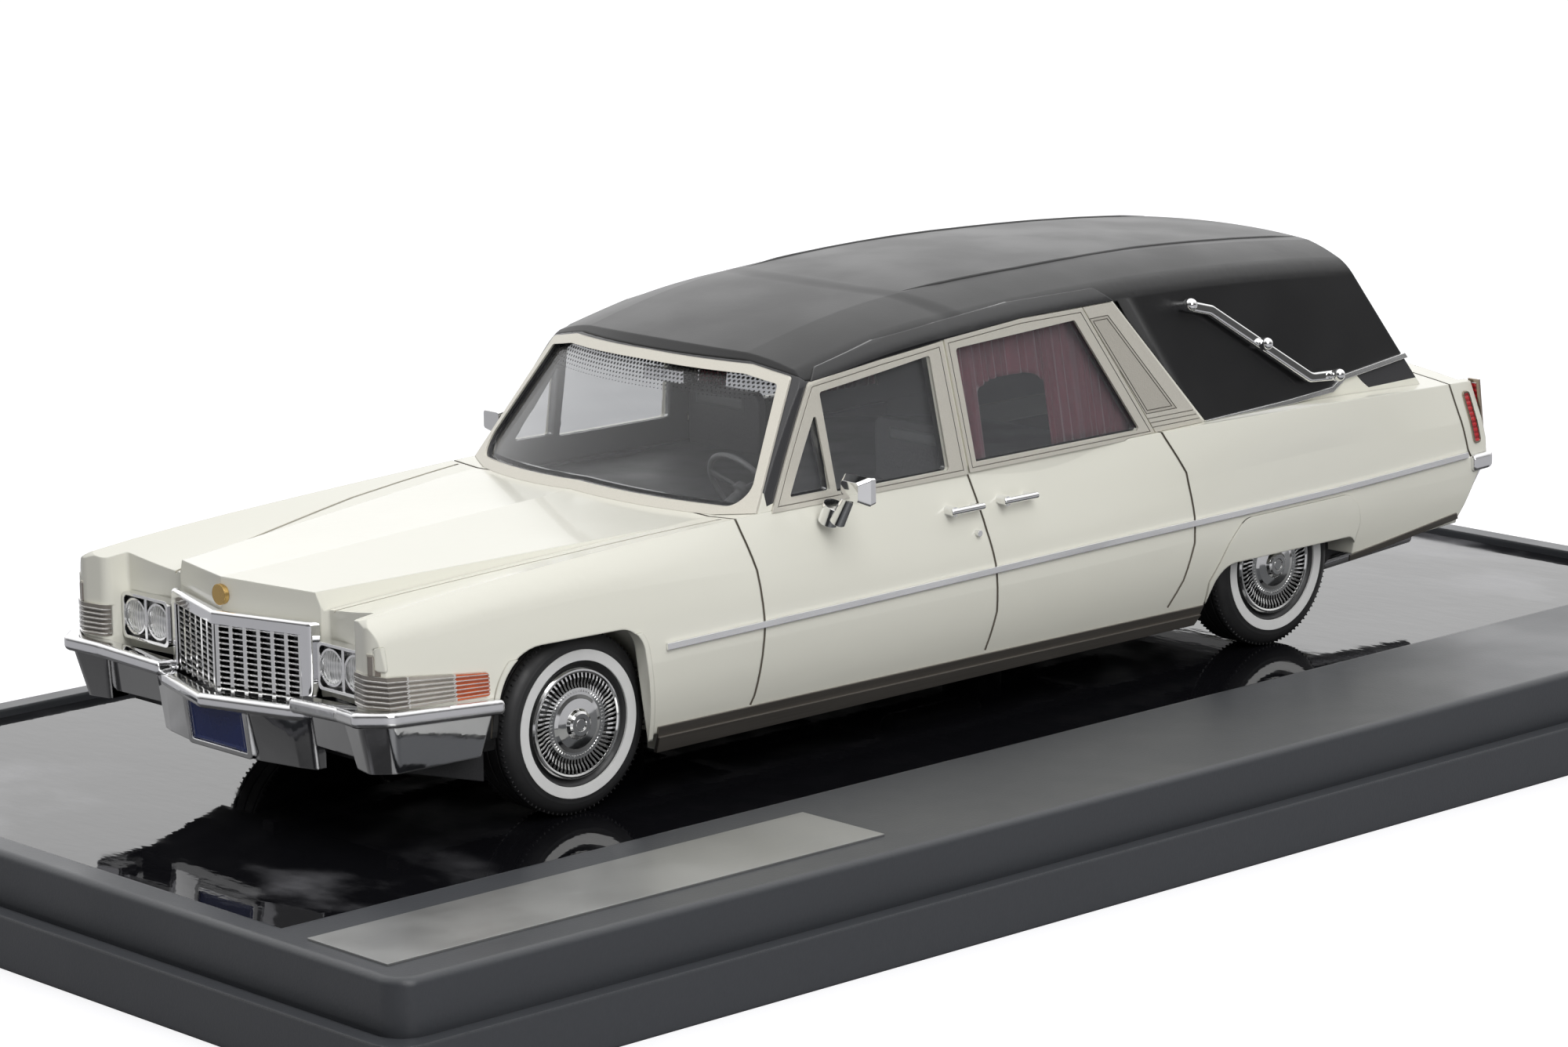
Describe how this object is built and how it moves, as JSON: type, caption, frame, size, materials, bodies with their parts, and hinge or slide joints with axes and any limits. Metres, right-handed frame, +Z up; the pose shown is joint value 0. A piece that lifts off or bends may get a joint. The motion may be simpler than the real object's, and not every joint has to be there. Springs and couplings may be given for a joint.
{
  "type": "display model of a hearse",
  "caption": "Scale display model of a landaulet hearse with black padded roof and landau bars, on its two-tier plinth with a blank nameplate; the axles roll.",
  "frame": {"origin": "centre of the plinth's underside, on the shelf it stands on", "axes": "+Z up, -Y the way the car faces, +X to the car's left; the plinth is longest along Y"},
  "size_m": [0.1064, 0.197, 0.0501],
  "materials": {
    "plinth": "satin charcoal moulding",
    "sheet": "black, polished like patent leather",
    "nameplate": "blank satin metal label",
    "steel": "turned steel",
    "body_paint": "gloss ivory paint on cast resin",
    "roof_paint": "satin black paint on cast resin",
    "gloss_black": "gloss black",
    "base_black": "matt black",
    "interior": "matt dark grey",
    "seat": "matt grey seat",
    "curtain": "burgundy pleated curtain",
    "etched": "etched sheet metal, satin champagne",
    "chrome": "plated",
    "bright": "bright foil strip",
    "sill": "etched sill strip, grey brown",
    "glass": "clear, faintly grey",
    "dark_glass": "smoke tint",
    "lens": "fluted clear lens",
    "amber": "amber lens",
    "red": "red lens",
    "plate": "blank blue",
    "tyre": "matt black",
    "whitewall": "white band",
    "rim": "dark wheel"
  },
  "bodies": {
    "display_base": {"plinth": "plinth", "plinth_sheet": "sheet", "plinth_nameplate": "nameplate", "mounting_screws": "steel", "body_shell": "body_paint", "roof_shell": "roof_paint", "base_plate": "base_black", "tailpipe": "steel", "interior_tub": "interior", "dashboard": "interior", "steering_wheel": "gloss_black", "front_seat": "seat", "partition": "interior", "casket_deck": "interior", "curtains": "curtain", "windshield_glass": "glass", "windshield_frame": "etched", "front_door_glass": "glass", "rear_door_glass": "dark_glass", "rear_window_glass": "dark_glass", "rear_window_frame": "chrome", "front_door_frames": "etched", "rear_door_frames": "etched", "quarter_panels": "etched", "drip_bands": "gloss_black", "front_bumper": "chrome", "rear_bumper": "chrome", "grille_surround": "chrome", "grille": "chrome", "grille_backing": "gloss_black", "headlamp_bezels": "chrome", "headlamp_lenses": "lens", "turn_lamps_clear": "lens", "turn_lamps_amber": "amber", "side_markers": "lens", "hood_badge": "chrome", "licence_plate": "plate", "inside_mirror": "chrome", "belt_trims": "chrome", "side_trims": "bright", "rocker_trims": "sill", "door_handles": "chrome", "door_mirrors": "chrome", "landau_bars": "chrome", "tail_lamp_bezels": "chrome", "tail_lamp_lenses": "red"},
    "front_wheelset": {"front_axle": "steel", "front_rims": "rim", "front_tyres": "tyre", "front_whitewalls": "whitewall", "front_hub_covers": "chrome"},
    "rear_wheelset": {"rear_axle": "steel", "rear_rims": "rim", "rear_tyres": "tyre", "rear_whitewalls": "whitewall", "rear_hub_covers": "chrome"}
  },
  "joints": [
    {"name": "front_axle_spin", "type": "hinge", "parent": "display_base", "child": "front_wheelset", "pos_m": [-0.0011, -0.0512, 0.01715], "axis": [1, 0, 0], "continuous": true},
    {"name": "rear_axle_spin", "type": "hinge", "parent": "display_base", "child": "rear_wheelset", "pos_m": [-0.0011, 0.0409, 0.01715], "axis": [1, 0, 0], "continuous": true}
  ]
}
